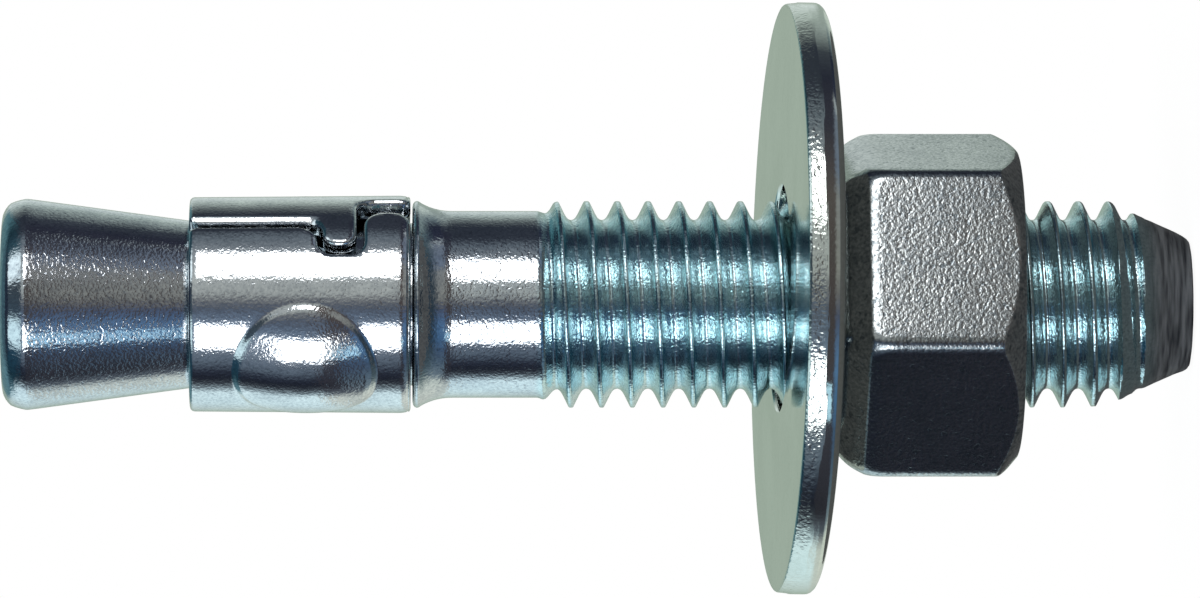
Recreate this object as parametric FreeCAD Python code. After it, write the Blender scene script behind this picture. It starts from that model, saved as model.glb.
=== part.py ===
import FreeCAD, Part
import math
import os

from FreeCAD import Vector

# Wedge anchor for a 5/8 inch hole, in millimetres. It stands on its threaded end: the origin is the
# centre of that end's face and +Z runs up the axis to the cone. Angles about the axis are counted
# from the front, which is -Y, towards +X.

# Threaded stud, drawn at the crest of its thread
thread_diameter = 15.5
thread_length = 48.2
point_face_diameter = 9.8
point_half_angle = 23.7
point_edge_break = 0.3

# Plain shank above the thread, and the collar rolled up at its end
shank_diameter = 14.0
shank_length = 6.32
runout_length = 0.9
collar_diameter = 15.5
collar_back_radius = 4.0
collar_band = 0.2
collar_edge_break = 0.3

# Expansion clip, one strip of sheet wrapped round the neck until its ends meet in a locking seam
clip_length = 16.5
clip_front_diameter = 16.05
clip_rear_diameter = 16.3
clip_wall = 1.5
clip_end_gap = 0.15
clip_edge_break = 0.45
neck_clearance = 0.45

# Locking seam: widths run along the axis, and depths round the clip from the middle of the seam
seam_angle = 51.8
seam_gap = 0.65
side_gap = 0.45
rear_tab_width = 3.4
rear_tab_depth = 1.0
rear_tab_end_gap = 2.0
rear_tab_corner_radius = 1.4
front_tab_width = 2.55
front_tab_depth = 2.55
front_tab_end_gap = 0.75
front_tab_corner_radius = 1.1

# Two round bosses pressed outwards from the clip, a quarter turn each side of the seam
boss_diameter = 10.5
boss_rise = 0.75
boss_step = 0.15
boss_height = 7.9
boss_hollow_diameter = 8.0
boss_hollow_depth = 0.55

# Cone that the clip is drawn over
cone_diameter = 15.8
cone_length = 12.2
cone_clearance = 0.25
cone_nose_length = 1.8
cone_nose_inset = 1.15
cone_nose_turns = ((0.08, 0.33), (0.26, 0.66))

# Hexagon nut
hexagon_turn = 60
nut_across_flats = 23.5
nut_height = 14.2
nut_base_height = 12.88
nut_corner_angle = 46.7
nut_thread_clearance = 0.1
nut_countersink = 0.7
nut_top_face_diameter = 21.8
nut_top_chamfer_angle = 42
nut_top_chamfer_depth = 1.7
nut_corner_roll_depth = 3.4
nut_crown_depth = 2.6
nut_crown_turns = ((0.68, 0.962), (0.33, 0.906), (0, 0.8))
nut_base_face_diameter = 22.9
nut_base_chamfer_angle = 40

# Punched washer, which lies cocked on the nut and to one side of the stud. The tilt carries its
# front down and the lean its left side up.
washer_diameter = 44.4
washer_hole_diameter = 17.0
washer_thickness = 2.75
washer_roll_depth = 0.55
washer_roll_width = 0.35
washer_break_depth = 1.3
washer_break_taper = 0.12
washer_tilt = 3.0
washer_lean = 0.9
washer_offset = 0.43
washer_clearance = 0.3

# Heights and radii that follow from the sizes above
thread_radius = thread_diameter / 2
shank_radius = shank_diameter / 2
collar_radius = collar_diameter / 2
collar_foot = thread_length + runout_length + shank_length
collar_rise = math.sqrt(collar_back_radius**2 - (shank_radius + collar_back_radius - collar_radius) ** 2)
collar_top = collar_foot + collar_rise + collar_band + collar_edge_break
clip_base = collar_top + clip_end_gap
clip_top = clip_base + clip_length
clip_bore_radius = clip_front_diameter / 2 - clip_wall
neck_radius = clip_bore_radius - neck_clearance
cone_radius = cone_diameter / 2
cone_widest = clip_top + cone_length
cone_slope = (cone_radius - clip_bore_radius + cone_clearance) / cone_length
cone_foot = cone_widest - (cone_radius - neck_radius) / cone_slope
overall_length = cone_widest + cone_nose_length
nut_top_height = nut_base_height + nut_height


def at(radius, height):
    # A point of a turned profile
    return Vector(radius, 0, height)


def line(start, end):
    return Part.LineSegment(start, end).toShape()


def turned(edges):
    # A closed profile in the XZ plane, turned once round the axis
    face = Part.Face(Part.Wire(edges))
    return face.revolve(Vector(0, 0, 0), Vector(0, 0, 1), 360)


def turned_outline(points):
    return turned([line(a, b) for a, b in zip(points, points[1:] + points[:1])])


def turn_to(shape, angle):
    # Carries a shape drawn on +X round the axis, to an angle counted from the front
    shape.rotate(Vector(0, 0, 0), Vector(0, 0, 1), angle - 90)
    return shape


def rim_edges(shape, height):
    # The circular edges of a turned shape at one height
    return [
        edge
        for edge in shape.Edges
        if abs(edge.BoundBox.ZMin - height) < 1e-4 and abs(edge.BoundBox.ZMax - height) < 1e-4
    ]


def stud_profile():
    # From the centre of the threaded end up to the foot of the collar
    slope = math.tan(math.radians(point_half_angle))
    face_radius = point_face_diameter / 2
    point_length = (thread_radius - face_radius) / slope
    points = [
        at(0, 0),
        at(face_radius - point_edge_break, 0),
        at(face_radius + point_edge_break * slope, point_edge_break),
        at(thread_radius, point_length),
        at(thread_radius, thread_length),
        at(shank_radius, thread_length + runout_length),
        at(shank_radius, collar_foot),
    ]
    return [line(a, b) for a, b in zip(points, points[1:])]


def collar_profile():
    # The back of the collar sweeps out of the shank, and its front is a square shoulder
    centre = at(shank_radius + collar_back_radius, collar_foot)
    half_sweep = math.asin(collar_rise / collar_back_radius) / 2
    middle = centre + Vector(-math.cos(half_sweep), 0, math.sin(half_sweep)) * collar_back_radius
    crest = at(collar_radius, collar_foot + collar_rise)
    band_end = at(collar_radius, collar_top - collar_edge_break)
    shoulder = at(collar_radius - collar_edge_break, collar_top)
    return [
        Part.Arc(at(shank_radius, collar_foot), middle, crest).toShape(),
        line(crest, band_end),
        line(band_end, shoulder),
        line(shoulder, at(neck_radius, collar_top)),
    ]


def cone_profile():
    # The nose is broken in three flats. Each turn is a share of the nose's inset and of its length.
    nose = [
        at(cone_radius - share_in * cone_nose_inset, cone_widest + share_up * cone_nose_length)
        for share_in, share_up in ((0, 0),) + cone_nose_turns + ((1, 1),)
    ]
    points = [at(neck_radius, collar_top), at(neck_radius, cone_foot)] + nose
    points += [at(0, overall_length), at(0, 0)]
    return [line(a, b) for a, b in zip(points, points[1:])]


def anchor_body():
    return turned(stud_profile() + collar_profile() + cone_profile())


def clip_cone(inset, overrun):
    # The clip's slightly conical outside, inset from it, and run past both ends by the overrun
    slope = (clip_rear_diameter - clip_front_diameter) / 2 / clip_length
    rear = clip_rear_diameter / 2 - inset + slope * overrun
    front = clip_front_diameter / 2 - inset - slope * overrun
    low = clip_base - overrun
    high = clip_top + overrun
    return turned_outline([at(0, low), at(rear, low), at(front, high), at(0, high)])


def boss_bar(diameter, reach):
    # A round bar square to the axis, from the axis out to the reach, at the bosses' height
    return Part.makeCylinder(diameter / 2, reach, Vector(0, 0, clip_base + boss_height), Vector(1, 0, 0))


def boss_crown(angle):
    # A crown with one curve round the clip and a flatter one along it. It stands off the sheet by
    # the rise in the middle and by the step at the rim.
    slope = (clip_rear_diameter - clip_front_diameter) / 2 / clip_length
    sheet_radius = clip_rear_diameter / 2 - slope * boss_height
    crown = sheet_radius + boss_rise
    rim = boss_diameter / 2
    rim_angle = rim / sheet_radius
    rim_sideways = (sheet_radius + boss_step) * math.sin(rim_angle)
    rim_drop = crown - (sheet_radius + boss_step) * math.cos(rim_angle)
    round_curve = (rim_sideways**2 + rim_drop**2) / (2 * rim_drop)
    end_drop = boss_rise - boss_step
    long_curve = (rim**2 + end_drop**2) / (2 * end_drop)
    middle = Vector(crown - long_curve, 0, clip_base + boss_height)
    ring = Part.makeTorus(long_curve - round_curve, round_curve, middle, Vector(0, 1, 0))
    return turn_to(ring.common(boss_bar(2 * rim_sideways, crown)), angle)


def boss_hollow(angle):
    # The pocket that the punch leaves behind a boss, with a floor that runs round the clip
    floor_radius = clip_bore_radius + boss_hollow_depth
    floor = Part.makeCylinder(floor_radius, clip_length, Vector(0, 0, clip_base))
    return turn_to(floor.common(boss_bar(boss_hollow_diameter, floor_radius)), angle)


def clip_sector(start_angle, end_angle, low, high):
    # A slice of the ring between two angles and two heights above the clip's rear edge
    reach = clip_rear_diameter
    slab = Part.makeBox(reach, 1, high - low, Vector(0, 0, clip_base + low))
    face = [side for side in slab.Faces if side.BoundBox.YMax < 1e-6][0]
    sector = face.revolve(Vector(0, 0, 0), Vector(0, 0, 1), end_angle - start_angle)
    return turn_to(sector, start_angle)


def seam_corner(clip, angle, height, radius):
    # Rounds the radial edge of the seam that stands at this angle and height
    direction = Vector(math.sin(math.radians(angle)), -math.cos(math.radians(angle)), 0)
    found = []
    for edge in clip.Edges:
        middle = edge.CenterOfMass
        flat = Vector(middle.x, middle.y, 0)
        off_line = (flat - direction * flat.dot(direction)).Length
        is_radial = abs(edge.BoundBox.ZLength) < 1e-4 and flat.dot(direction) > 0
        if is_radial and off_line < 1e-3 and abs(middle.z - clip_base - height) < 1e-3:
            found.append(edge)
    return clip.makeFillet(radius, found)


def expansion_clip():
    outside = clip_cone(0, 0)
    outside = outside.makeChamfer(clip_edge_break, rim_edges(outside, clip_base))
    sides = (seam_angle - 90, seam_angle + 90)
    strip = outside.fuse([boss_crown(side) for side in sides]).cut(clip_cone(clip_wall, 1))
    strip = strip.cut([boss_hollow(side) for side in sides])

    mean_radius = (clip_front_diameter + clip_rear_diameter) / 4
    degree = math.degrees(1 / mean_radius)
    half_gap = seam_gap / 2 * degree
    low_edge = seam_angle - half_gap
    high_edge = seam_angle + half_gap
    front_tab_end = seam_angle - front_tab_depth * degree
    front_notch_end = front_tab_end - front_tab_end_gap * degree
    rear_tab_end = seam_angle + rear_tab_depth * degree
    rear_notch_end = rear_tab_end + rear_tab_end_gap * degree
    front_tab_low = rear_tab_width + side_gap
    front_tab_high = front_tab_low + front_tab_width
    front_notch_high = front_tab_high + side_gap

    straight = clip_sector(low_edge, high_edge, front_tab_high, clip_length + 1)
    front_notch = clip_sector(front_notch_end, high_edge, rear_tab_width, front_notch_high)
    front_tab = clip_sector(front_tab_end, high_edge + 1, front_tab_low, front_tab_high)
    rear_notch = clip_sector(rear_tab_end, rear_notch_end, -1, front_tab_low)
    crossing = clip_sector(low_edge, rear_notch_end, rear_tab_width, front_tab_low)
    gap = straight.fuse([front_notch.cut(front_tab), rear_notch, crossing]).removeSplitter()
    clip = strip.cut(gap)

    corners = [
        (high_edge, front_tab_high, front_tab_corner_radius),
        (front_tab_end, front_tab_high, front_tab_corner_radius),
        (front_tab_end, front_tab_low, front_tab_corner_radius),
        (low_edge, front_notch_high, front_tab_corner_radius),
        (front_notch_end, front_notch_high, front_tab_corner_radius),
        (front_notch_end, rear_tab_width, front_tab_corner_radius),
        (rear_tab_end, rear_tab_width, rear_tab_corner_radius),
        (rear_notch_end, front_tab_low, rear_tab_corner_radius),
    ]
    for angle, height, radius in corners:
        clip = seam_corner(clip, angle, height, radius)
    return clip


def nut_flats(corner_angle):
    # The slab between two opposite flats, which lie half a side past this corner and roll in towards
    # the washer. Each turn of the roll is a share of the crown's depth and of the width across flats.
    half_width = nut_across_flats / 2
    side = [(half_width, 0), (half_width, nut_height - nut_crown_depth)]
    side += [(half_width * across, nut_height - nut_crown_depth * down) for down, across in nut_crown_turns]
    outline = [Vector(x, -nut_across_flats, z) for x, z in side]
    outline += [Vector(-x, -nut_across_flats, z) for x, z in reversed(side)]
    section = Part.Face(Part.makePolygon(outline + outline[:1]))
    return turn_to(section.extrude(Vector(0, 2 * nut_across_flats, 0)), corner_angle + hexagon_turn / 2)


def hex_nut():
    corner_radius = nut_across_flats / 2 / math.cos(math.radians(hexagon_turn / 2))
    prism = nut_flats(nut_corner_angle)
    for pair in (1, 2):
        prism = prism.common(nut_flats(nut_corner_angle + pair * hexagon_turn))
    top_face = nut_top_face_diameter / 2
    top_reach = top_face + nut_top_chamfer_depth / math.tan(math.radians(nut_top_chamfer_angle))
    base_face = nut_base_face_diameter / 2
    base_depth = (corner_radius - base_face) * math.tan(math.radians(nut_base_chamfer_angle))
    blank = turned_outline([
        at(0, 0),
        at(base_face, 0),
        at(corner_radius, base_depth),
        at(corner_radius, nut_height - nut_corner_roll_depth),
        at(top_reach, nut_height - nut_top_chamfer_depth),
        at(top_face, nut_height),
        at(0, nut_height),
    ])
    bore_radius = thread_radius + nut_thread_clearance
    mouth_radius = bore_radius + nut_countersink
    bore = turned_outline([
        at(0, 0),
        at(mouth_radius, 0),
        at(bore_radius, nut_countersink),
        at(bore_radius, nut_height - nut_countersink),
        at(mouth_radius, nut_height),
        at(0, nut_height),
    ])
    nut = prism.common(blank).cut(bore)
    nut.translate(Vector(0, 0, nut_base_height))
    return nut


def flat_washer():
    # The punch rolls the lower rim and shears it smooth, and the rest breaks away at a slight taper
    rim = washer_diameter / 2
    hole = washer_hole_diameter / 2
    washer = turned_outline([
        at(hole, 0),
        at(rim - washer_roll_width, 0),
        at(rim, washer_roll_depth),
        at(rim, washer_thickness - washer_break_depth),
        at(rim - washer_break_taper, washer_thickness),
        at(hole, washer_thickness),
    ])
    seat_radius = nut_top_face_diameter / 2
    whole_tilt = math.radians(math.hypot(washer_tilt, washer_lean))
    lift = washer_clearance + seat_radius * math.sin(whole_tilt)
    washer.rotate(Vector(0, 0, 0), Vector(1, 0, 0), washer_tilt)
    washer.rotate(Vector(0, 0, 0), Vector(0, 1, 0), washer_lean)
    washer.translate(Vector(washer_offset, 0, nut_top_height + lift))
    return washer


os.makedirs("parts", exist_ok=True)
nodes = {
    "anchor_body": anchor_body(),
    "expansion_clip": expansion_clip(),
    "hex_nut": hex_nut(),
    "flat_washer": flat_washer(),
}
for name, shape in nodes.items():
    solid = shape.Solids[0]
    print(name, len(shape.Solids), "solid", round(solid.Volume, 1), "mm3", "valid", solid.isValid())
    solid.exportStep(os.path.join("parts", name + ".step"))
print("overall length", round(overall_length, 2))
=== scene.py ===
import math

import bmesh
import bpy
from mathutils import Matrix, Vector, noise


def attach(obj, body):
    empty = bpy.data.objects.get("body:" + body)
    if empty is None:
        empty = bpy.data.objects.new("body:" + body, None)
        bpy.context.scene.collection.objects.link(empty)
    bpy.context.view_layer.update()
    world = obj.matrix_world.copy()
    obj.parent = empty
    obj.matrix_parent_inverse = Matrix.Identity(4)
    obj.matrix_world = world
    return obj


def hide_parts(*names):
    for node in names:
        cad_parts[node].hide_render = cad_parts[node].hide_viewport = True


# Wedge anchor standing on its threaded end, cone up. Sizes are in millimetres and angles in degrees,
# counted round the axis from the front (-Y) towards +X.

mm = 0.001
tau = 2 * math.pi
closeBy = 1e-6  # metres: places nearer than this count as one
sameHeight = 2e-7  # finer, for rings that lie just beside a cut

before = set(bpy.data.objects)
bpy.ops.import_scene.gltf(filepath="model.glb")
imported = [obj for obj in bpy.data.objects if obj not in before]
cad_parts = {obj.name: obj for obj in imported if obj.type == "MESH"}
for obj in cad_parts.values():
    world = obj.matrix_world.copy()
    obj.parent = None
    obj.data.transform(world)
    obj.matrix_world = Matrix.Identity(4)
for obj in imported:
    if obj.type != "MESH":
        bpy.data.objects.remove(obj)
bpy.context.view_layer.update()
print("frame loaded:", sorted(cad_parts))


def startPiece():
    # nothing selected, and object mode
    if bpy.context.object and bpy.context.object.mode != "OBJECT":
        bpy.ops.object.mode_set(mode="OBJECT")
    bpy.ops.object.select_all(action="DESELECT")


def editPiece(obj, selectMode="VERT"):
    bpy.context.view_layer.objects.active = obj
    obj.select_set(True)
    bpy.ops.object.mode_set(mode="EDIT")
    bpy.ops.mesh.select_mode(type=selectMode)
    bpy.ops.mesh.select_all(action="DESELECT")


def pickVerts(obj, test):
    # selects the vertices whose place passes the test, and clears the rest
    bm = bmesh.from_edit_mesh(obj.data)
    for v in bm.verts:
        v.select = test(v.co)
    bm.select_flush(True)
    bm.select_flush(False)
    bmesh.update_edit_mesh(obj.data)


def pickFaces(obj, test):
    bm = bmesh.from_edit_mesh(obj.data)
    for f in bm.faces:
        f.select = test(f.calc_center_median())
    bm.select_flush(False)
    bmesh.update_edit_mesh(obj.data)


def polar(angle, radius, height=0.0):
    a = math.radians(angle)
    return Vector((radius * math.sin(a), -radius * math.cos(a), height))


def cutAcross(place, direction, **sides):
    # cuts all of the piece with a plane
    bpy.ops.mesh.select_all(action="SELECT")
    bpy.ops.mesh.bisect(plane_co=[c * mm for c in place], plane_no=direction, threshold=1e-7, **sides)


def clamped(value):
    return min(max(value, 0), 1)


def setRadius(v, radius, wanted):
    # moves a vertex in or out, straight towards or away from the axis
    v.co.x *= wanted / radius
    v.co.y *= wanted / radius


def profileAt(points, place):
    # straight runs between points of (place, value)
    for (a, va), (b, vb) in zip(points, points[1:]):
        if place <= b:
            return va + (vb - va) * (place - a) / (b - a) if place > a else va
    return points[-1][1]


def blendedMin(a, b, width):
    # the smaller of two values, with a rounded change from one to the other
    h = max(width - abs(a - b), 0) / width
    return min(a, b) - h * h * width / 4


def drawLine(name, points):
    # a plane merged to one vertex, which is then extruded from point to point
    startPiece()
    bpy.ops.mesh.primitive_plane_add(size=mm, calc_uvs=False)
    obj = bpy.context.object
    obj.name = name
    editPiece(obj)
    bpy.ops.mesh.select_all(action="SELECT")
    bpy.ops.mesh.merge(type="CENTER")
    bpy.ops.transform.translate(value=points[0])
    for last, point in zip(points, points[1:]):
        bpy.ops.mesh.extrude_region_move(TRANSFORM_OT_translate={"value": point - last})
    return obj


def applyModifier(obj, name):
    bpy.context.view_layer.objects.active = obj
    bpy.ops.object.modifier_apply(modifier=name)


def finishPiece(obj, name, body, node, material, smoothAngle):
    startPiece()
    obj.select_set(True)
    bpy.context.view_layer.objects.active = obj
    bpy.ops.object.shade_smooth_by_angle(angle=math.radians(smoothAngle))
    obj.name = name
    obj.data.name = name
    obj.data.materials.clear()
    obj.data.materials.append(material)
    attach(obj, body)
    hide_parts(node)
    print(name, len(obj.data.vertices), "vertices", len(obj.data.polygons), "faces")


def newGroup(name, inputs, outputs):
    group = bpy.data.node_groups.new(name, "ShaderNodeTree")
    for label, kind, value in inputs:
        socket = group.interface.new_socket(label, in_out="INPUT", socket_type=kind)
        socket.default_value = value
    for label, kind in outputs:
        group.interface.new_socket(label, in_out="OUTPUT", socket_type=kind)
    return group, group.nodes.new("NodeGroupInput"), group.nodes.new("NodeGroupOutput")


def addNode(tree, kind, **settings):
    node = tree.nodes.new(kind)
    for key, value in settings.items():
        setattr(node, key, value)
    return node


def mathNode(tree, operation, a, b):
    node = addNode(tree, "ShaderNodeMath", operation=operation)
    for socket, value in zip(node.inputs, (a, b)):
        if isinstance(value, (int, float)):
            socket.default_value = value
        else:
            tree.links.new(value, socket)
    return node.outputs[0]


def noiseNode(tree, vector, scale, detail, roughness=0.5):
    node = addNode(tree, "ShaderNodeTexNoise")
    node.inputs["Detail"].default_value = detail
    node.inputs["Roughness"].default_value = roughness
    tree.links.new(vector, node.inputs["Vector"])
    if isinstance(scale, (int, float)):
        node.inputs["Scale"].default_value = scale
    else:
        tree.links.new(scale, node.inputs["Scale"])
    return node.outputs["Fac"]


def spread(tree, value, low, high):
    # stretches a value between two limits to 0..1
    node = addNode(tree, "ShaderNodeMapRange")
    node.inputs["From Min"].default_value = low
    node.inputs["From Max"].default_value = high
    tree.links.new(value, node.inputs["Value"])
    return node.outputs["Result"]


def boosted(tree, value, mask, amount):
    # the value, raised by a share of itself where the mask is on
    gain = mathNode(tree, "ADD", mathNode(tree, "MULTIPLY", mask, amount), 1.0)
    return mathNode(tree, "MULTIPLY", value, gain)


def mirroredRays(tree):
    # masks for rays straight from the camera, and for those that come by way of metal
    path = addNode(tree, "ShaderNodeLightPath")
    mirrored = mathNode(tree, "MAXIMUM", path.outputs["Is Glossy Ray"], path.outputs["Is Transmission Ray"])
    return path.outputs["Is Camera Ray"], mirrored


def mixColour(tree, factor, a, b, **settings):
    node = addNode(tree, "ShaderNodeMix", data_type="RGBA", **settings)
    for socket, value in ((node.inputs[0], factor), (node.inputs[6], a), (node.inputs[7], b)):
        if isinstance(value, bpy.types.NodeSocket):
            tree.links.new(value, socket)
        else:
            socket.default_value = value
    return node.outputs[2]


zinc = {
    # where each noise passes from none to full
    "cloudSpread": (0.35, 0.68), "grainSpread": (0.3, 0.7), "speckSpread": (0.62, 0.72),
    # how closely the specks lie, as a share of the grain's scale
    "speckScale": 0.6,
    # how far grain and clouds stand up, against specks that go in by their full strength
    "grainHeight": 0.6, "cloudHeight": 0.5,
}


def makePlatingGroup():
    # zinc plating: clouds, a fine mottle of the grain and small dark specks
    group, source, result = newGroup(
        "zincPlating",
        [
            ("Vector", "NodeSocketVector", (0, 0, 0)),
            ("Bright", "NodeSocketColor", (0.80, 0.82, 0.83, 1)),
            ("Dull", "NodeSocketColor", (0.5, 0.52, 0.54, 1)),
            ("Cloud Scale", "NodeSocketFloat", 250),
            ("Grain Scale", "NodeSocketFloat", 2500),
            ("Grain", "NodeSocketFloat", 0.4),
            ("Specks", "NodeSocketFloat", 0.3),
            ("Low Roughness", "NodeSocketFloat", 0.2),
            ("High Roughness", "NodeSocketFloat", 0.4),
        ],
        [("Color", "NodeSocketColor"), ("Roughness", "NodeSocketFloat"), ("Height", "NodeSocketFloat")],
    )
    tree = group
    vector = source.outputs["Vector"]
    grainScale = source.outputs["Grain Scale"]
    speckScale = mathNode(tree, "MULTIPLY", grainScale, zinc["speckScale"])
    clouds = noiseNode(tree, vector, source.outputs["Cloud Scale"], detail=4, roughness=0.6)
    cloud = spread(tree, clouds, *zinc["cloudSpread"])
    grain = spread(tree, noiseNode(tree, vector, grainScale, detail=1), *zinc["grainSpread"])
    speck = spread(tree, noiseNode(tree, vector, speckScale, detail=1), *zinc["speckSpread"])
    specks = mathNode(tree, "MULTIPLY", speck, source.outputs["Specks"])
    mottle = mathNode(tree, "MULTIPLY", grain, source.outputs["Grain"])
    cloudy = mathNode(tree, "MULTIPLY", cloud, mathNode(tree, "SUBTRACT", 1.0, source.outputs["Grain"]))
    dullness = mathNode(tree, "ADD", mottle, cloudy)
    total = mathNode(tree, "MINIMUM", mathNode(tree, "ADD", dullness, specks), 1.0)
    colour = mixColour(tree, total, source.outputs["Bright"], source.outputs["Dull"])
    tree.links.new(colour, result.inputs["Color"])
    low, high = source.outputs["Low Roughness"], source.outputs["High Roughness"]
    rough = mathNode(tree, "MULTIPLY", mathNode(tree, "SUBTRACT", high, low), total)
    tree.links.new(mathNode(tree, "ADD", low, rough), result.inputs["Roughness"])
    height = mathNode(tree, "SUBTRACT", mathNode(tree, "MULTIPLY", grain, zinc["grainHeight"]), specks)
    height = mathNode(tree, "ADD", height, mathNode(tree, "MULTIPLY", cloud, zinc["cloudHeight"]))
    tree.links.new(height, result.inputs["Height"])
    return group


platingGroup = makePlatingGroup()


def makeZinc(name, look):
    material = bpy.data.materials.new(name)
    material.use_nodes = True
    tree = material.node_tree
    shader = tree.nodes["Principled BSDF"]
    shader.inputs["Metallic"].default_value = 1.0
    coordinates = addNode(tree, "ShaderNodeTexCoord")
    place = coordinates.outputs["Object"]
    plating = addNode(tree, "ShaderNodeGroup", node_tree=platingGroup)
    for label, value in look["plating"].items():
        plating.inputs[label].default_value = value
    tree.links.new(place, plating.inputs["Vector"])
    colour, rough, height = (plating.outputs[label] for label in ("Color", "Roughness", "Height"))
    parts = addNode(tree, "ShaderNodeSeparateXYZ")
    tree.links.new(place, parts.inputs[0])
    if "threadBelow" in look:
        # the rolled thread is grainier than the turned surfaces above it. Its colour is also tinted teal
        # and lightened: a painted reflection, standing in for the teal light between the flanks and for
        # whiter highlights on them
        middle, fade = look["threadBelow"], look["threadFade"]
        threadZone = spread(tree, parts.outputs["Z"], (middle + fade) * mm, (middle - fade) * mm)
        height = boosted(tree, height, threadZone, look["coarseness"])
        # painted reflection: teal tint and extra lightness multiplied into the thread's colour
        colour = mixColour(tree, threadZone, colour, look["threadPaintedReflection"], blend_type="MULTIPLY")
    if "bareBelow" in look:
        # hardly any zinc on the pointed end
        wander = mathNode(tree, "MULTIPLY", rough, look["bareWander"])
        edge = mathNode(tree, "ADD", parts.outputs["Z"], wander)
        bare = spread(tree, edge, (look["bareBelow"] + look["bareFade"]) * mm, look["bareBelow"] * mm)
        flattened = addNode(tree, "ShaderNodeMapping")
        flattened.inputs["Scale"].default_value = look["markScale"]
        tree.links.new(place, flattened.inputs["Vector"])
        marks = noiseNode(tree, flattened.outputs["Vector"], 1.0, detail=2)
        marks = spread(tree, marks, *look["markSpread"])
        steel = mixColour(tree, marks, look["bareColour"], look["bareBright"])
        colour = mixColour(tree, bare, colour, steel)
        rough = mathNode(tree, "ADD", rough, mathNode(tree, "MULTIPLY", bare, look["bareRough"]))
    if "torn" in look:
        # torn metal is coarser and duller than the sheared and rolled metal beside it
        mark = addNode(tree, "ShaderNodeAttribute", attribute_name="torn").outputs["Fac"]
        height = boosted(tree, height, mark, look["torn"])
        rough = mathNode(tree, "ADD", rough, mathNode(tree, "MULTIPLY", mark, look["tornRough"]))
    tree.links.new(colour, shader.inputs["Base Color"])
    tree.links.new(rough, shader.inputs["Roughness"])
    bump = addNode(tree, "ShaderNodeBump")
    bump.inputs["Strength"].default_value = look["bumpStrength"]
    bump.inputs["Distance"].default_value = look["bumpDepth"] * mm
    tree.links.new(height, bump.inputs["Height"])
    tree.links.new(bump.outputs["Normal"], shader.inputs["Normal"])
    return material


looks = {
    "bodyZinc": {
        "plating": {
            "Bright": (0.84, 0.88, 0.90, 1), "Dull": (0.46, 0.50, 0.55, 1),
            "Cloud Scale": 300, "Grain Scale": 4600, "Grain": 0.6, "Specks": 0.5,
            "Low Roughness": 0.07, "High Roughness": 0.15,
        },
        "bumpStrength": 0.5, "bumpDepth": 0.02,
        # the thread: up to what height, over how much it fades out, extra bump, and the tint of painted
        # teal reflection
        "threadBelow": 48.8, "threadFade": 0.4, "coarseness": 0.8, "threadPaintedReflection": (0.91, 1.11, 1.11, 1),
        # the point: up to what height, over how much the zinc sets in, how its edge follows the roughness
        "bareBelow": 2.9, "bareFade": 1.4, "bareWander": 0.004,
        "bareColour": (0.18, 0.19, 0.22, 1), "bareBright": (0.92, 0.95, 1.0, 1), "bareRough": 0.1,
        # its turning marks: how closely they lie across and along the axis, and their contrast
        "markScale": (260, 260, 2600), "markSpread": (0.34, 0.66),
    },
    "clipZinc": {
        "plating": {
            "Bright": (0.88, 0.90, 0.91, 1), "Dull": (0.52, 0.55, 0.58, 1),
            "Cloud Scale": 320, "Grain Scale": 4800, "Grain": 0.6, "Specks": 0.4,
            "Low Roughness": 0.07, "High Roughness": 0.15,
        },
        "bumpStrength": 0.45, "bumpDepth": 0.018,
    },
    "nutZinc": {
        "plating": {
            "Bright": (0.66, 0.68, 0.68, 1), "Dull": (0.22, 0.25, 0.27, 1),
            "Cloud Scale": 260, "Grain Scale": 3900, "Grain": 0.65, "Specks": 0.6,
            "Low Roughness": 0.10, "High Roughness": 0.2,
        },
        "bumpStrength": 0.4, "bumpDepth": 0.022,
    },
    "washerZinc": {
        "plating": {
            "Bright": (0.80, 0.84, 0.80, 1), "Dull": (0.62, 0.66, 0.62, 1),
            "Cloud Scale": 130, "Grain Scale": 3200, "Grain": 0.4, "Specks": 0.15,
            "Low Roughness": 0.06, "High Roughness": 0.11,
        },
        "bumpStrength": 0.25, "bumpDepth": 0.01,
        # the torn part of the rim: extra bump and roughness
        "torn": 9.0, "tornRough": 0.05,
    },
}
materials = {name: makeZinc(name, look) for name, look in looks.items()}
print("materials made:", sorted(materials))


# stud: thread, shank, collar, neck and cone

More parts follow.
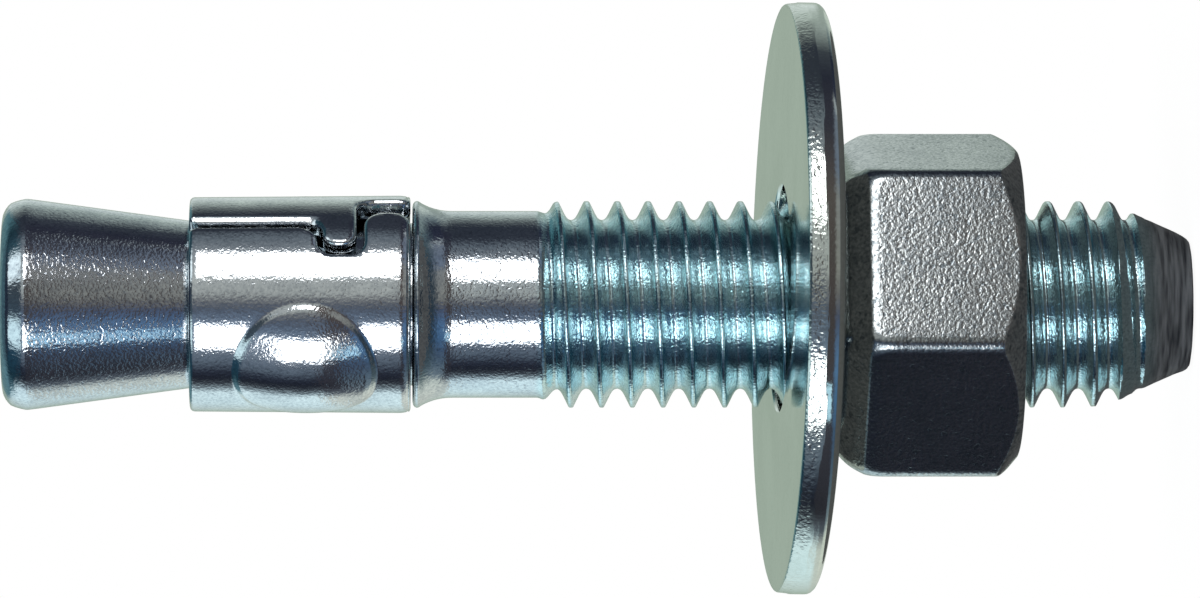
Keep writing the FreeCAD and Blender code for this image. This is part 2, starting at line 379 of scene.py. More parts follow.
anchor = {
    "pitch": 2.309, "crest": 7.75, "root": 6.33, "start": -3.28, "turns": 24, "columns": 144,
    # where the thread ends, and where and down to what radius it runs out
    "length": 49.0, "fadeStart": 47.2, "fadeRadius": 7.0,
    # half of one tooth: share of a pitch from the crest, and depth as a share of the whole
    "tooth": ((0.0, 0.0), (0.05, 0.006), (0.075, 0.04), (0.1, 0.12), (0.18, 0.385),
              (0.26, 0.65), (0.33, 0.84), (0.38, 0.925), (0.43, 0.975)),
    # outline of the pointed end: height and radius, how far it is turned off centre,
    # the height it reaches and how softly it cuts the thread
    "point": ((0.0, 4.7), (0.12, 4.9), (0.4, 5.08), (3.4, 6.4), (6.2, 7.78)),
    "pointOffset": 0.1, "pointTop": 8, "pointBlend": 0.12,
    # its roughness: how deep, from what height, and how closely the dents lie
    "pointRough": 0.05, "roughFrom": 2.2, "roughScale": 1.7,
    # height and radius of each ring from the end of the thread to the cone's end face
    "rings": (
        (51.0, 7.0), (53.5, 7.0), (55.25, 7.0), (55.42, 7.005), (55.75, 7.02), (56.15, 7.075),
        (56.55, 7.165), (56.95, 7.29), (57.3, 7.44), (57.55, 7.57), (57.7, 7.67), (57.79, 7.72),
        (57.87, 7.75), (57.97, 7.745), (58.07, 7.70), (58.15, 7.62), (58.21, 7.5), (58.25, 7.3),
        (58.25, 7.0), (58.25, 6.12), (58.3, 6.075), (65.0, 6.075), (73.3, 6.075), (73.7, 6.11),
        (75.1, 6.3), (79.0, 6.825), (83.0, 7.365), (86.4, 7.823), (86.95, 7.892), (87.08, 7.9),
        (87.18, 7.897), (87.28, 7.882), (87.45, 7.845), (87.7, 7.785), (87.95, 7.71), (88.15, 7.63),
        (88.3, 7.57), (88.5, 7.38), (88.66, 7.17), (88.78, 6.95), (88.86, 6.75), (88.9, 6.5),
        (88.9, 4.0),
    ),
}


def threadStrip(name, crest, root, start, turns, columns):
    # one tooth drawn as a line at +X, then screwed round the axis
    pitch = anchor["pitch"]
    half = [(share * pitch, crest - drop * (crest - root)) for share, drop in anchor["tooth"]]
    half.append((pitch / 2, root))
    line = [(-z, r) for z, r in reversed(half[1:])] + half
    obj = drawLine(name, [Vector((r, 0, start + z)) * mm for z, r in line])
    startPiece()
    screw = obj.modifiers.new("screw", "SCREW")
    screw.axis = "Z"
    screw.angle = tau
    screw.screw_offset = pitch * mm
    screw.iterations = turns
    screw.steps = screw.render_steps = columns
    screw.use_merge_vertices = True
    screw.merge_threshold = closeBy
    applyModifier(obj, "screw")
    editPiece(obj)
    bpy.ops.mesh.select_all(action="SELECT")
    bpy.ops.mesh.remove_doubles(threshold=2 * closeBy)
    bpy.ops.mesh.normals_make_consistent(inside=False)
    return obj


def raiseRings(height, radius, rings):
    # extrudes the selected ring from one height and radius to the next
    for nextHeight, nextRadius in rings:
        rise = (nextHeight - height) * mm
        bpy.ops.mesh.extrude_region_move(TRANSFORM_OT_translate={"value": (0, 0, rise)})
        ratio = nextRadius / radius
        bpy.ops.transform.resize(value=(ratio, ratio, 1), center_override=(0, 0, nextHeight * mm))
        height, radius = nextHeight, nextRadius


stud = threadStrip("stud", anchor["crest"], anchor["root"], anchor["start"],
                   anchor["turns"], anchor["columns"])

# the rolled thread runs out over the shank, and the pointed end cuts it down
bm = bmesh.from_edit_mesh(stud.data)
for v in bm.verts:
    height = v.co.z / mm
    radius = math.hypot(v.co.x, v.co.y) / mm
    limit = profileAt(anchor["point"], height)
    limit += anchor["pointOffset"] * v.co.x / mm / radius * clamped(height)
    dent = noise.noise(v.co / mm * anchor["roughScale"]) * clamped(height - anchor["roughFrom"])
    limit += anchor["pointRough"] * dent
    wanted = blendedMin(radius, limit, anchor["pointBlend"]) if height < anchor["pointTop"] else radius
    fade = clamped((height - anchor["fadeStart"]) / (anchor["length"] - anchor["fadeStart"]))
    fade = fade * fade * (3 - 2 * fade)
    wanted += (anchor["fadeRadius"] - wanted) * fade
    setRadius(v, radius, wanted)
bmesh.update_edit_mesh(stud.data)

cutAcross((0, 0, anchor["length"]), (0, 0, 1), clear_outer=True)
cutAcross((0, 0, 0), (0, 0, 1), clear_inner=True, use_fill=True)

# shank, collar, neck and cone grow out of the ring in which the thread ends
pickVerts(stud, lambda co: abs(co.z - anchor["length"] * mm) < sameHeight)
raiseRings(anchor["length"], anchor["fadeRadius"], anchor["rings"])
bpy.ops.mesh.edge_face_add()
bpy.ops.mesh.select_all(action="SELECT")
bpy.ops.mesh.normals_make_consistent(inside=False)
startPiece()
finishPiece(stud, "threaded_stud", "anchor", "anchor_body", materials["bodyZinc"], 38)


# expansion clip, made as a flat strip of sheet and rolled up

clip = {
    "rear": 58.4, "front": 74.9, "rearRadius": 8.15, "frontRadius": 8.025, "wall": 1.5,
    "seam": 51.8, "flatRadius": 8.1, "cornerSteps": 8, "edgeRound": 0.34, "edgeSteps": 3,
    # the rear edge is drawn in: reach up the sheet, how far in, and the shares of the reach with cuts
    "rearReach": 0.9, "rearDrop": 0.15, "rearCuts": (0.15, 0.45, 0.6, 0.75, 1.0),
    # towards the high end the rounded edge of the skin stands out a little further with its depth
    "slant": 0.3, "slantReach": 4.0, "slantLead": 0.4,
    # the high end is rolled over on the outside: how wide and deep, and over what length it fades out
    "rollWidth": 0.48, "rollDepth": 0.28, "rollFade": 0.8,
    # outlines of the two ends: angle, height, radius of the corner
    "lowEnd": ((46.3, 74.9, 0.6), (46.3, 65.3, 1.5), (28.3, 65.3, 1.1),
               (28.3, 61.9, 1.0), (58.7, 61.9, 1.6), (58.7, 58.4, 1.5)),
    "highEnd": ((72.0, 58.4, 0.6), (72.0, 62.4, 1.3), (33.7, 62.4, 1.0),
                (33.7, 64.95, 1.0), (51.0, 64.95, 1.4), (51.0, 74.9, 0.6)),
    # width of the cells that the sheet is cut into, and how deep the outer skin counts
    "cell": 0.4, "skin": 0.05,
    "boss": {
        "angles": (-39.5, 140.5), "height": 66.3, "halfHole": 15, "ringsToSquare": 6,
        # how much longer it is round the clip than along it, fading out over a margin,
        # and how its crest leans away from the seam
        "stretch": 1.04, "margin": 2, "lean": 0.3,
        # distance from the middle, and how far the sheet stands out there
        "crown": (
            (0.0, 0.75), (1.2, 0.71), (2.2, 0.622), (3.1, 0.505), (3.9, 0.385), (4.5, 0.293), (4.9, 0.235),
            (5.0, 0.205), (5.1, 0.155), (5.2, 0.10), (5.3, 0.05), (5.4, 0.012), (5.5, 0.0),
        ),
    },
}
boss = clip["boss"]
degreeLength = math.radians(1) * clip["flatRadius"]  # mm of flat sheet to a degree
backAngle = clip["seam"] - 180


def flatX(angle, high):
    # place along the flat strip, from the back of the clip. The high end lies at -X.
    return ((angle - backAngle) - (360 if high else 0)) * degreeLength


def clipRadius(height):
    share = (height - clip["rear"]) / (clip["front"] - clip["rear"])
    return clip["rearRadius"] + (clip["frontRadius"] - clip["rearRadius"]) * share


# the blank, cut from a plane by the outline's lines
startPiece()
corners = [(flatX(a, False), z, r) for a, z, r in clip["lowEnd"]]
corners += [(flatX(a, True), z, r) for a, z, r in clip["highEnd"]]
lowest, highest = min(c[0] for c in corners), max(c[0] for c in corners)
middleHeight = (clip["rear"] + clip["front"]) / 2
bpy.ops.mesh.primitive_plane_add(size=1, location=((lowest + highest) / 2 * mm, middleHeight * mm, 0))
sheet = bpy.context.object
sheet.scale = ((highest - lowest) * mm, (clip["front"] - clip["rear"]) * mm, 1)
bpy.ops.object.transform_apply(location=True, rotation=False, scale=True)
editPiece(sheet)
for x in sorted({round(c[0], 4) for c in corners})[1:-1]:
    cutAcross((x, 0, 0), (1, 0, 0))
for z in sorted({c[1] for c in corners})[1:-1]:
    cutAcross((0, z, 0), (0, 1, 0))


def inGap(co):
    # cells between the outline and the ends of the plane
    x, z = co.x / mm, co.y / mm
    low, high = clip["lowEnd"], clip["highEnd"]
    if x > 0:
        if z > low[1][1]:
            return x > flatX(low[0][0], False)
        return z > low[3][1] and x > flatX(low[2][0], False)
    if z < high[1][1]:
        return x < flatX(high[0][0], True)
    return z > high[3][1] and x < flatX(high[4][0], True)


bpy.ops.mesh.select_mode(type="FACE")
pickFaces(sheet, inGap)
bpy.ops.mesh.delete(type="FACE")
bpy.ops.mesh.select_all(action="SELECT")
bpy.ops.mesh.dissolve_limited(angle_limit=math.radians(1))
bpy.ops.mesh.select_mode(type="VERT")
for x, z, radius in corners:
    pickVerts(sheet, lambda co: abs(co.x - x * mm) < 3 * closeBy and abs(co.y - z * mm) < 3 * closeBy)
    bpy.ops.mesh.bevel(affect="VERTICES", offset=radius * mm, segments=clip["cornerSteps"], profile=0.5,
                       clamp_overlap=False)
startPiece()

thicken = sheet.modifiers.new("thicken", "SOLIDIFY")
thicken.thickness = clip["wall"] * mm
thicken.offset = -1
applyModifier(sheet, "thicken")
rounding = sheet.modifiers.new("rounding", "BEVEL")
rounding.width = clip["edgeRound"] * mm
rounding.segments = clip["edgeSteps"]
rounding.limit_method = "ANGLE"
rounding.angle_limit = math.radians(60)
rounding.use_clamp_overlap = False
applyModifier(sheet, "rounding")
blank = sheet.bound_box[0], sheet.bound_box[6]
print("blank bounds", [tuple(round(c / mm, 2) for c in corner) for corner in blank])

# a fine net of cuts, so that the sheet can be rolled up
editPiece(sheet)
bossX = [flatX(angle, angle > clip["seam"]) for angle in boss["angles"]]
columnStep = (bossX[0] - bossX[1]) / round((bossX[0] - bossX[1]) / clip["cell"])
x = bossX[0] - columnStep * math.floor((bossX[0] - lowest) / columnStep)
while x < highest:
    cutAcross((x, 0, 0), (1, 0, 0))
    x += columnStep
z = boss["height"] - columnStep * math.floor((boss["height"] - clip["rear"]) / columnStep)
while z < clip["front"]:
    cutAcross((0, z, 0), (0, 1, 0))
    z += columnStep
highEdge = flatX(clip["highEnd"][4][0], True)
cutAcross((highEdge + clip["rollWidth"], 0, 0), (1, 0, 0))
for share in clip["rearCuts"]:
    cutAcross((0, clip["rear"] + clip["rearReach"] * share, 0), (0, 1, 0))

# each boss takes the place of a square of cells: rings pass from the square to a circle, and on inwards
holeHalf = boss["halfHole"] * columnStep
bossRim = boss["crown"][-1][0]
for centre in bossX:
    middle = Vector((centre, boss["height"], 0)) * mm

    def onSquare(co):
        reach = max(abs(co.x - middle.x), abs(co.y - middle.y))
        return abs(co.z) < closeBy and abs(reach - holeHalf * mm) < closeBy

    def inSquare(co):
        reach = max(abs(co.x - middle.x), abs(co.y - middle.y))
        return abs(co.z) < closeBy and reach < holeHalf * mm

    bpy.ops.mesh.select_mode(type="FACE")
    pickFaces(sheet, inSquare)
    bpy.ops.mesh.delete(type="FACE")
    bpy.ops.mesh.select_mode(type="VERT")
    pickVerts(sheet, onSquare)
    for step in range(boss["ringsToSquare"], 0, -1):
        bpy.ops.mesh.extrude_region_move(TRANSFORM_OT_translate={"value": (0, 0, 0)})
        bm = bmesh.from_edit_mesh(sheet.data)
        for v in bm.verts:
            if v.select:
                offset = v.co - middle
                v.co += (offset.normalized() * bossRim * mm - offset) / step
        bmesh.update_edit_mesh(sheet.data)
    for inner, outer in zip(reversed(boss["crown"][1:-1]), reversed(boss["crown"][2:])):
        bpy.ops.mesh.extrude_region_move(TRANSFORM_OT_translate={"value": (0, 0, 0)})
        ratio = inner[0] / outer[0]
        bpy.ops.transform.resize(value=(ratio, ratio, 1), center_override=middle)
    bpy.ops.mesh.extrude_region_move(TRANSFORM_OT_translate={"value": (0, 0, 0)})
    bpy.ops.mesh.merge(type="CENTER")
print("clip net and bosses laid out")

# rolled up round the axis
tabTop = clip["highEnd"][3][1]
bm = bmesh.from_edit_mesh(sheet.data)
for v in bm.verts:
    along, height, level = v.co.x / mm, v.co.y / mm, v.co.z / mm
    aboveTab = clamped((height - tabTop) / clip["rollFade"])
    rolled = clip["rollDepth"] * (1 - (along - highEdge) / clip["rollWidth"]) * aboveTab
    level = min(level, -max(rolled, 0))
    out = 0.0
    if level > -clip["skin"]:
        for centre in bossX:
            distance = math.hypot(along - centre, height - boss["height"])
            if distance < bossRim:
                out = profileAt(boss["crown"], distance) * (1 - boss["lean"] * (along - centre) / bossRim)
            if distance < bossRim + boss["margin"]:
                nearBoss = min((bossRim + boss["margin"] - distance) / boss["margin"], 1)
                along = centre + (along - centre) * (1 + (boss["stretch"] - 1) * nearBoss)
                break
        slanted = clamped((highEdge + clip["slantReach"] - along) / clip["slantReach"] + clip["slantLead"])
        along += clip["slant"] * level * slanted
        nearRear = max(1 - (height - clip["rear"]) / clip["rearReach"], 0)
        out -= clip["rearDrop"] * nearRear * nearRear
    v.co = polar(backAngle + along / degreeLength, clipRadius(height) + level + out, height) * mm
bmesh.update_edit_mesh(sheet.data)
bpy.ops.mesh.select_all(action="SELECT")
bpy.ops.mesh.normals_make_consistent(inside=False)
startPiece()
finishPiece(sheet, "expansion_clip_sheet", "clip", "expansion_clip", materials["clipZinc"], 38)


# hexagon nut

nut = {
    "base": 12.88, "top": 27.08, "acrossFlats": 23.5,
    "cornerAngle": 46.7, "cornerRound": 1.2, "columns": 360,
    # base face: depth and radius of its rings, and its innermost radius
    "faceRadius": 10.6, "face": ((0.0, 11.2), (0.005, 11.36)),
    # turned chamfer at the base: radius at the face, its growth with depth, and the depths of its rings
    "baseRadius": 11.45, "baseSlope": 1.19,
    "baseDepths": (0.06, 0.15, 0.27, 0.4, 0.55, 0.7, 0.85, 1.0, 1.15, 1.3, 1.45, 1.6, 1.75, 1.9, 2.1, 2.4),
    # height and turned radius between chamfer and crown, where the flats cut in
    "sides": ((17.5, 14.4), (20.0, 14.4)),
    # rolled crown under the washer: depth, turned radius, and width across flats as a share of the whole
    "crown": (
        (4.6, 14.0, 1.0), (4.15, 13.78, 1.0), (3.65, 13.62, 1.0), (3.3, 13.49, 1.0),
        (3.05, 13.41, 0.9996), (2.85, 13.345, 0.9985), (2.7, 13.29, 0.9973), (2.6, 13.255, 0.9958),
        (2.5, 13.22, 0.9932), (2.4, 13.18, 0.989), (2.3, 13.14, 0.9845), (2.15, 13.07, 0.9778),
        (1.95, 12.97, 0.969), (1.75, 12.85, 0.9605), (1.5, 12.66, 0.949), (1.3, 12.49, 0.938),
        (1.1, 12.3, 0.925), (0.9, 12.09, 0.91), (0.7, 11.86, 0.892), (0.55, 11.68, 0.877),
        (0.4, 11.48, 0.86), (0.27, 11.3, 0.844), (0.16, 11.12, 0.83), (0.08, 10.96, 0.818),
        (0.03, 10.86, 0.81), (0.0, 10.8, 0.80),
    ),
    # how softly the flats meet the crown, down to a depth, and the chamfer below it
    "crownEdge": 0.4, "crownDepth": 7, "baseEdge": 0.26,
    # bore: radius of the ring round the top mouth, of the mouths' chamfer, and the internal thread
    "topRing": 9.1, "mouthRadius": 8.55, "boreCrest": 7.86, "boreRoot": 6.75, "boreColumns": 96,
    # it starts this many pitches above the stud's, and goes on for so many turns
    "boreStart": 6, "boreTurns": 9,
}


def hexRadius(angle, half):
    # distance from the axis to the hexagon, whose corners are turned to the same radius
    halfSide = math.radians(30)
    off = math.radians((angle - nut["cornerAngle"]) % 60 - 30)
    side = halfSide - abs(off)
    corner = half / math.cos(halfSide)
    centre = corner - nut["cornerRound"] / math.cos(halfSide)
    if centre * math.sin(side) < nut["cornerRound"] * math.sin(halfSide):
        return centre * math.cos(side) + math.sqrt(nut["cornerRound"] ** 2 - (centre * math.sin(side)) ** 2)
    return half / math.cos(off)


startPiece()
bpy.ops.mesh.primitive_circle_add(vertices=nut["columns"], radius=nut["faceRadius"] * mm,
                                  location=(0, 0, nut["base"] * mm),
                                  rotation=(0, 0, math.radians(nut["cornerAngle"] - 90)))
hexNut = bpy.context.object
bpy.ops.object.transform_apply(location=True, rotation=True, scale=True)
editPiece(hexNut)
bpy.ops.mesh.select_all(action="SELECT")
chamfer = [(depth, nut["baseRadius"] + nut["baseSlope"] * depth) for depth in nut["baseDepths"]]
nutRings = [(nut["base"] + depth, radius) for depth, radius in [*nut["face"], *chamfer]]
nutRings += nut["sides"]
nutRings += [(nut["top"] - depth, radius) for depth, radius, across in nut["crown"]]
nutRings.append((nut["top"], nut["topRing"]))
raiseRings(nut["base"], nut["faceRadius"], nutRings)
acrossAt = [(depth, across) for depth, radius, across in reversed(nut["crown"])]
bm = bmesh.from_edit_mesh(hexNut.data)
for v in bm.verts:
    turned = math.hypot(v.co.x, v.co.y) / mm
    angle = math.degrees(math.atan2(v.co.x, -v.co.y))
    depth = nut["top"] - v.co.z / mm
    half = nut["acrossFlats"] / 2 * profileAt(acrossAt, depth)
    edge = nut["crownEdge"] if depth < nut["crownDepth"] else nut["baseEdge"]
    setRadius(v, turned, blendedMin(hexRadius(angle, half), turned, edge))
bmesh.update_edit_mesh(hexNut.data)
startPiece()

# internal thread, in step with the stud's, opened out at both mouths
boreStart = anchor["start"] + nut["boreStart"] * anchor["pitch"]
bore = threadStrip("bore", nut["boreCrest"], nut["boreRoot"], boreStart,
                   nut["boreTurns"], nut["boreColumns"])
bm = bmesh.from_edit_mesh(bore.data)
for v in bm.verts:
    height = v.co.z / mm
    radius = math.hypot(v.co.x, v.co.y) / mm
    depth = min(height - nut["base"], nut["top"] - height)
    setRadius(v, radius, max(radius, nut["mouthRadius"] - max(depth, 0)))
bmesh.update_edit_mesh(bore.data)
cutAcross((0, 0, nut["top"]), (0, 0, 1), clear_outer=True)
cutAcross((0, 0, nut["base"]), (0, 0, 1), clear_inner=True)
startPiece()
bore.select_set(True)
hexNut.select_set(True)
bpy.context.view_layer.objects.active = hexNut
bpy.ops.object.join()
editPiece(hexNut, "EDGE")
for faceHeight in (nut["base"], nut["top"]):
    bm = bmesh.from_edit_mesh(hexNut.data)
    for edge in bm.edges:
        middle = (edge.verts[0].co.z + edge.verts[1].co.z) / 2
        edge.select = edge.is_boundary and abs(middle - faceHeight * mm) < closeBy
    bmesh.update_edit_mesh(hexNut.data)
    bpy.ops.mesh.bridge_edge_loops()
bpy.ops.mesh.select_all(action="SELECT")
bpy.ops.mesh.normals_make_consistent(inside=False)
startPiece()
finishPiece(hexNut, "hexagon_nut", "nut", "hex_nut", materials["nutZinc"], 42)


# plate washer

washer = {
    "steps": 360, "tilt": 3.0, "lean": 0.9, "shift": 0.43, "lift": 27.9756,
    # where the punched rim breaks away: its mean height, how far up and down the edge wanders,
    # how closely its long and short waves lie, and the height over which the tear sets in
    "breakHeight": 1.6, "breakWander": 0.34, "waves": (0.16, 0.7), "breakFade": 0.12,
    # what can be torn: the rim and a little of the faces beside it
    "rim": 22.2, "rimWidth": 0.25,
    # how far the torn part stands back: everywhere, where it is ragged, and with height above the edge
    "tornIn": 0.02, "tornRagged": 0.03, "tornLean": 0.09, "raggedScale": 2.2,
    # section from the hole's lower edge outwards and back: radius and height
    "section": (
        (8.62, 0.0), (12.0, 0.0), (17.0, 0.0), (21.2, 0.0), (21.55, 0.015), (21.8, 0.06), (21.98, 0.15),
        (22.11, 0.29), (22.18, 0.45), (22.2, 0.65), (22.2, 1.0), (22.2, 1.15), (22.2, 1.3),
        (22.2, 1.45), (22.2, 1.6), (22.2, 1.75), (22.2, 1.9), (22.2, 2.05), (22.2, 2.2), (22.2, 2.35),
        (22.2, 2.5), (22.18, 2.62), (22.14, 2.7), (22.05, 2.74), (21.6, 2.75), (18.0, 2.75),
        (13.0, 2.75), (8.8, 2.75), (8.6, 2.72), (8.52, 2.62), (8.5, 2.4), (8.5, 1.4), (8.5, 0.3),
        (8.53, 0.1),
    ),
}
section = [Vector((r, 0, z)) * mm for r, z in washer["section"]]
plate = drawLine("washer", section)
pickVerts(plate, lambda co: min((co - section[0]).length, (co - section[-1]).length) < closeBy)
bpy.ops.mesh.edge_face_add()
bpy.ops.mesh.select_all(action="SELECT")
bpy.ops.mesh.spin(steps=washer["steps"], angle=tau, center=(0, 0, 0), axis=(0, 0, 1))
bpy.ops.mesh.select_all(action="SELECT")
bpy.ops.mesh.remove_doubles(threshold=closeBy)
bpy.ops.mesh.normals_make_consistent(inside=False)

# above a wandering line the rim is torn, leans in a little and is rough. The "torn" attribute marks it.
tiltTurn = Matrix.Rotation(math.radians(washer["lean"]), 4, "Y")
tiltTurn @= Matrix.Rotation(math.radians(washer["tilt"]), 4, "X")
washerPlace = Vector((washer["shift"], 0, washer["lift"])) * mm
bm = bmesh.from_edit_mesh(plate.data)
torn = bm.verts.layers.float.new("torn")
for v in bm.verts:
    radius = math.hypot(v.co.x, v.co.y) / mm
    height = v.co.z / mm
    if radius > washer["rim"] - washer["rimWidth"]:
        longWave, shortWave = washer["waves"]
        wander = noise.noise(Vector((v.co.x, v.co.y, 0)) / mm * longWave)
        wander += 0.5 * noise.noise(Vector((v.co.x, v.co.y, 9)) / mm * shortWave)
        above = height - washer["breakHeight"] - washer["breakWander"] * wander
        share = clamped(above / washer["breakFade"])
        v[torn] = share
        ragged = 0.5 + 0.5 * noise.noise(v.co / mm * washer["raggedScale"])
        inwards = washer["tornIn"] + washer["tornRagged"] * ragged + washer["tornLean"] * max(above, 0)
        setRadius(v, radius, radius - share * inwards)
    v.co = tiltTurn @ v.co + washerPlace
bmesh.update_edit_mesh(plate.data)
startPiece()
finishPiece(plate, "plate_washer", "washer", "flat_washer", materials["washerZinc"], 35)


# floor, world, lamps and camera

studio = {
    # lengths in metres; how white the floor is to the camera and how bright in the metal
    "floorRadius": 0.07, "floorDrop": 0.0002, "floorColour": (0.3, 0.3, 0.3, 1),
    "floorWhite": 0.94, "floorSheen": 0.03,
    # soft boxes round the axis: angle, height of the middle, width, height, power in watts, colour
    "lampDistance": 0.6,
    "lamps": (
        (43.2, 0.0685, 0.29, 0.113, 0.354, (1.0, 1.0, 1.0)),
        (-35.2, 0.0935, 0.275, 0.175, 0.51, (0.97, 0.99, 1.0)),
        (-40.0, -0.05, 0.15, 0.036, 0.018, (0.5, 0.82, 1.0)),
    ),
    # the even light that matt surfaces get from the room
    "plain": (0.2, 0.205, 0.205, 1),
}

# what the metal sees round about, from angle to colour, at six heights
room = {
    "level": (
        (-180, (0.36, 0.44, 0.37)), (-168, (0.39, 0.48, 0.41)), (-152, (0.6, 0.72, 0.70)),
        (-132, (0.76, 0.96, 1.0)), (-110, (0.80, 1.0, 1.05)), (-103, (0.28, 0.36, 0.40)),
        (-95, (0.05, 0.06, 0.075)), (-86, (0.012, 0.015, 0.026)), (-76, (0.03, 0.038, 0.06)),
        (-64, (0.11, 0.145, 0.19)), (-50, (0.15, 0.19, 0.25)), (-18, (0.15, 0.21, 0.30)),
        (-4, (0.09, 0.11, 0.15)), (5, (0.2, 0.21, 0.22)), (12, (0.42, 0.45, 0.44)),
        (34, (0.42, 0.45, 0.45)), (62, (0.22, 0.25, 0.28)), (76, (0.14, 0.17, 0.20)),
        (88, (0.035, 0.042, 0.058)), (114, (0.03, 0.037, 0.052)), (126, (0.15, 0.175, 0.175)),
        (142, (0.50, 0.58, 0.54)), (160, (0.72, 0.80, 0.78)), (170, (0.40, 0.48, 0.41)),
        (180, (0.36, 0.44, 0.37)),
    ),
    # just under level: what the washer's rim sees
    "dim": (
        (-180, (0.36, 0.44, 0.37)), (-150, (0.60, 0.66, 0.61)), (-116, (0.66, 0.71, 0.66)),
        (-104, (0.10, 0.12, 0.15)), (-92, (0.03, 0.03, 0.04)), (-50, (0.045, 0.045, 0.06)),
        (-20, (0.06, 0.052, 0.055)), (40, (0.09, 0.075, 0.07)), (70, (0.04, 0.04, 0.055)),
        (96, (0.025, 0.028, 0.045)), (112, (0.05, 0.06, 0.075)), (132, (0.36, 0.42, 0.40)),
        (180, (0.36, 0.44, 0.37)),
    ),
    # a little below that: what the cone sees
    "lowered": (
        (-180, (0.60, 0.64, 0.58)), (-150, (0.60, 0.64, 0.58)), (-128, (0.75, 0.80, 0.72)),
        (-112, (0.72, 0.78, 0.70)), (-100, (0.20, 0.26, 0.30)), (-82, (0.10, 0.15, 0.20)),
        (-60, (0.06, 0.10, 0.17)), (-42, (0.07, 0.16, 0.30)), (-24, (0.10, 0.20, 0.36)),
        (-8, (0.08, 0.10, 0.16)), (2, (0.16, 0.16, 0.16)), (12, (0.26, 0.265, 0.25)),
        (40, (0.25, 0.26, 0.26)), (52, (0.16, 0.20, 0.27)), (78, (0.16, 0.19, 0.24)),
        (84, (0.40, 0.44, 0.46)), (89, (0.03, 0.035, 0.06)), (112, (0.02, 0.025, 0.045)),
        (128, (0.17, 0.22, 0.235)), (150, (0.58, 0.66, 0.60)), (180, (0.60, 0.66, 0.60)),
    ),
    "below": (
        (-180, (0.40, 0.48, 0.42)), (-140, (0.32, 0.40, 0.37)), (-100, (0.08, 0.12, 0.14)),
        (-50, (0.03, 0.05, 0.07)), (50, (0.03, 0.05, 0.07)), (100, (0.08, 0.12, 0.14)),
        (140, (0.32, 0.40, 0.37)), (180, (0.40, 0.48, 0.42)),
    ),
    "raised": (
        (-180, (0.14, 0.25, 0.26)), (-130, (0.12, 0.25, 0.30)), (-96, (0.012, 0.04, 0.06)),
        (-58, (0.02, 0.06, 0.10)), (-47, (0.75, 0.98, 1.05)), (-23, (0.75, 0.98, 1.05)),
        (-13, (0.05, 0.08, 0.11)), (24, (0.05, 0.065, 0.08)), (35, (1.0, 1.15, 1.2)),
        (58, (1.0, 1.15, 1.2)), (69, (0.04, 0.09, 0.12)), (96, (0.012, 0.035, 0.05)),
        (130, (0.09, 0.20, 0.23)), (180, (0.14, 0.25, 0.26)),
    ),
    "overhead": (
        (-180, (0.06, 0.12, 0.15)), (-130, (0.06, 0.12, 0.15)), (-90, (0.02, 0.03, 0.05)),
        (0, (0.02, 0.03, 0.05)), (90, (0.02, 0.03, 0.05)), (130, (0.06, 0.12, 0.15)),
        (180, (0.06, 0.12, 0.15)),
    ),
}


# from level upwards and downwards, each height takes over between two sines of the ray's rise
roomHeights = {
    "raised": (0.3, 0.42), "overhead": (0.76, 0.86),
    "dim": (-0.055, -0.085), "lowered": (-0.18, -0.22), "below": (-0.4, -0.6),
}


def makeFloor():
    startPiece()
    bpy.ops.mesh.primitive_circle_add(vertices=96, radius=studio["floorRadius"], fill_type="NGON",
                                      location=(0, 0, -studio["floorDrop"]))
    floor = bpy.context.object
    floor.name = "floor"
    material = bpy.data.materials.new("paleFloor")
    material.use_nodes = True
    tree = material.node_tree
    shader = tree.nodes["Principled BSDF"]
    shader.inputs["Base Color"].default_value = studio["floorColour"]
    shader.inputs["Roughness"].default_value = 0.8
    shader.inputs["Specular IOR Level"].default_value = 0.0
    direct, mirrored = mirroredRays(tree)
    shown = mathNode(tree, "MAXIMUM", mathNode(tree, "MULTIPLY", direct, studio["floorWhite"]),
                     mathNode(tree, "MULTIPLY", mirrored, studio["floorSheen"]))
    shader.inputs["Emission Color"].default_value = (1, 1, 1, 1)
    tree.links.new(shown, shader.inputs["Emission Strength"])
    floor.data.materials.append(material)


def roomRamp(tree, share, stops):
    node = addNode(tree, "ShaderNodeValToRGB")
    elements = node.color_ramp.elements
    elements.remove(elements[1])
    for index, (degrees, colour) in enumerate(stops):
        element = elements[0] if index < 1 else elements.new(degrees / 360 + 0.5)
        element.position = degrees / 360 + 0.5
        element.color = (*colour, 1)
    tree.links.new(share, node.inputs["Fac"])
    return node.outputs["Color"]


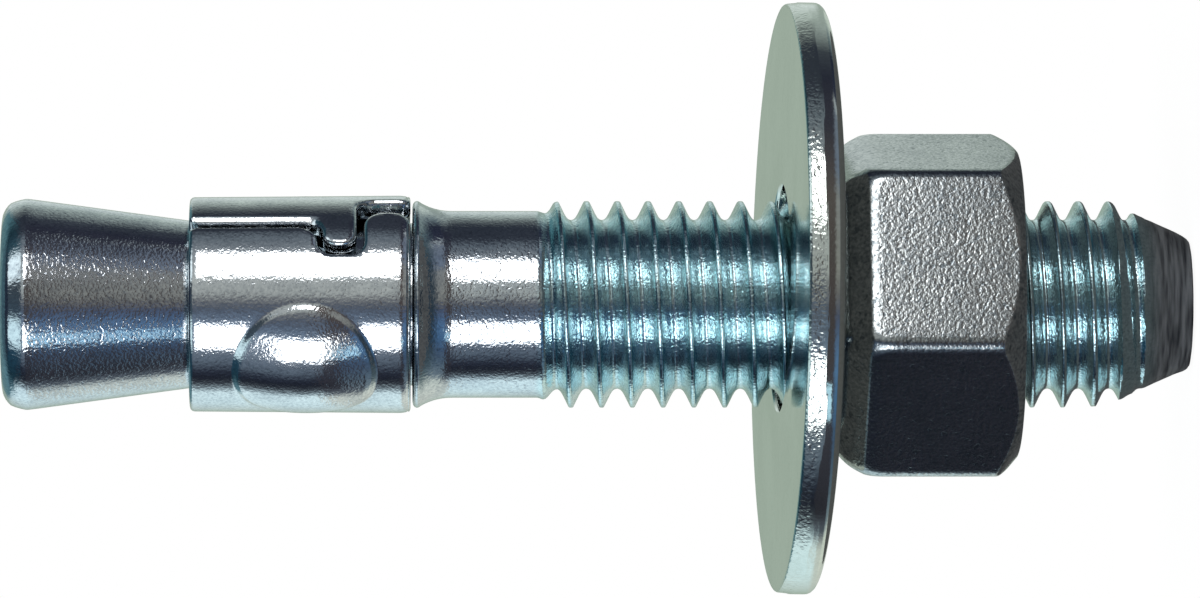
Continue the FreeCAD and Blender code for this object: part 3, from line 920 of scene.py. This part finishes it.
def makeWorld():
    world = bpy.data.worlds.new("studio")
    bpy.context.scene.world = world
    world.use_nodes = True
    tree = world.node_tree
    background = tree.nodes["Background"]
    coordinates = addNode(tree, "ShaderNodeTexCoord")
    parts = addNode(tree, "ShaderNodeSeparateXYZ")
    tree.links.new(coordinates.outputs["Generated"], parts.inputs[0])
    # angle round the axis from the front, as a share of a whole turn with the front in the middle
    behind = mathNode(tree, "MULTIPLY", parts.outputs["Y"], -1.0)
    angle = mathNode(tree, "ARCTAN2", parts.outputs["X"], behind)
    share = mathNode(tree, "ADD", mathNode(tree, "DIVIDE", angle, tau), 0.5)
    rise = parts.outputs["Z"]
    seen = roomRamp(tree, share, room["level"])
    for name, (start, end) in roomHeights.items():
        seen = mixColour(tree, spread(tree, rise, start, end), seen, roomRamp(tree, share, room[name]))
    direct, mirrored = mirroredRays(tree)
    seen = mixColour(tree, mirrored, studio["plain"], seen)
    shown = mixColour(tree, direct, seen, (1, 1, 1, 1))
    tree.links.new(shown, background.inputs["Color"])
    background.inputs["Strength"].default_value = 1.0


def makeLamps():
    for index, (angle, middle, width, height, power, colour) in enumerate(studio["lamps"]):
        data = bpy.data.lights.new(f"stripLight{index}", "AREA")
        data.shape = "RECTANGLE"
        data.size = width
        data.size_y = height
        data.energy = power
        data.color = colour
        lamp = bpy.data.objects.new(data.name, data)
        bpy.context.scene.collection.objects.link(lamp)
        place = polar(angle, studio["lampDistance"], middle)
        lamp.location = place
        lamp.rotation_euler = (Vector((0, 0, middle)) - place).to_track_quat("-Z", "Y").to_euler()


camera = {
    "distance": 0.645, "footHeight": 0.061, "centreHeight": 0.04418, "centreRise": 0.0004,
    "lens": 258.0, "sensor": 36.0,
}


def makeCamera():
    # turned a quarter round its line of sight, so that the cone lies to the left
    data = bpy.data.cameras.new("photoCamera")
    data.lens = camera["lens"]
    data.sensor_width = camera["sensor"]
    data.clip_start = 0.01
    obj = bpy.data.objects.new("photoCamera", data)
    bpy.context.scene.collection.objects.link(obj)
    place = Vector((camera["centreRise"], -camera["distance"], camera["footHeight"]))
    target = Vector((camera["centreRise"], 0, camera["centreHeight"]))
    back = (place - target).normalized()
    up = Vector((1, 0, 0))
    right = up.cross(back).normalized()
    up = back.cross(right).normalized()
    turn = Matrix((right, up, back)).transposed()
    obj.matrix_world = Matrix.Translation(place) @ turn.to_4x4()
    bpy.context.scene.camera = obj


makeFloor()
makeWorld()
makeLamps()
makeCamera()
bpy.context.scene.view_settings.view_transform = "Standard"
print("stage ready")
